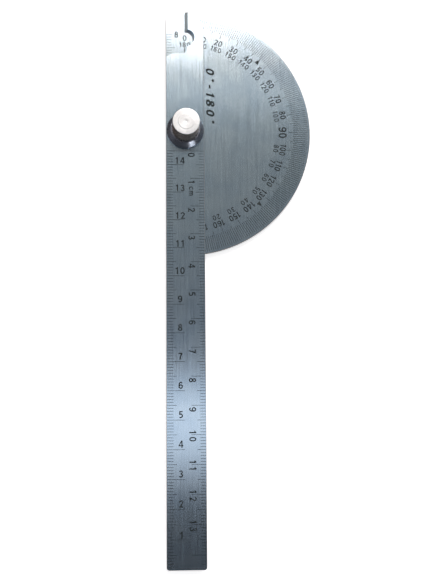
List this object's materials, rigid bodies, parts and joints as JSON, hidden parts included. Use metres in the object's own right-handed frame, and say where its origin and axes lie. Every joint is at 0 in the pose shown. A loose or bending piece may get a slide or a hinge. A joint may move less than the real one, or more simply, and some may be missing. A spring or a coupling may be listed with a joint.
{
  "type": "swing-arm protractor",
  "caption": "Flat steel protractor with a half-round degree head, a long ruled blade that swings on it and a knurled thumb nut that clamps the pivot.",
  "frame": {"origin": "on the pivot axis, at the underside of the pivot screw's head, the level the tool rests on", "axes": "+Y along the blade from the pivot towards the pointer tip, +X from the pivot towards the head's 90 degree mark, +Z out of the marked faces along the pivot axis"},
  "size_m": [0.0518, 0.1975, 0.0146],
  "materials": {
    "head_steel": "brushed along the blade direction, satin, with dark printed degree graduations",
    "blade_steel": "brushed lengthwise, satin, with dark printed centimetre graduations",
    "screw_nickel": "turned and nickel plated",
    "washer_nickel": "turned, polished nickel plate",
    "nut_nickel": "diamond knurled barrel with a bright faced end, nickel plate",
    "marking_ink": "matt dark marking ink of the graduations and numerals"
  },
  "bodies": {
    "head": {"protractor_head": "head_steel", "pivot_screw": "screw_nickel"},
    "blade": {"ruler_blade": "blade_steel"},
    "washer": {"conical_washer": "washer_nickel"},
    "nut": {"thumb_nut": "nut_nickel"}
  },
  "joints": [
    {"name": "blade_swing", "type": "hinge", "parent": "head", "child": "blade", "pos_m": [0, 0, 0], "axis": [0, 0, 1], "continuous": true},
    {"name": "nut_lift", "type": "slide", "parent": "head", "child": "washer", "axis": [0, 0, 1], "range_m": [0, 0.0024]},
    {"name": "nut_turn", "type": "hinge", "parent": "washer", "child": "nut", "pos_m": [0, 0, 0], "axis": [0, 0, 1], "range_deg": [0, 1081]}
  ],
  "couplings": [
    {"joint": "nut_turn", "follows": "nut_lift", "rad_per_m": 7854}
  ]
}
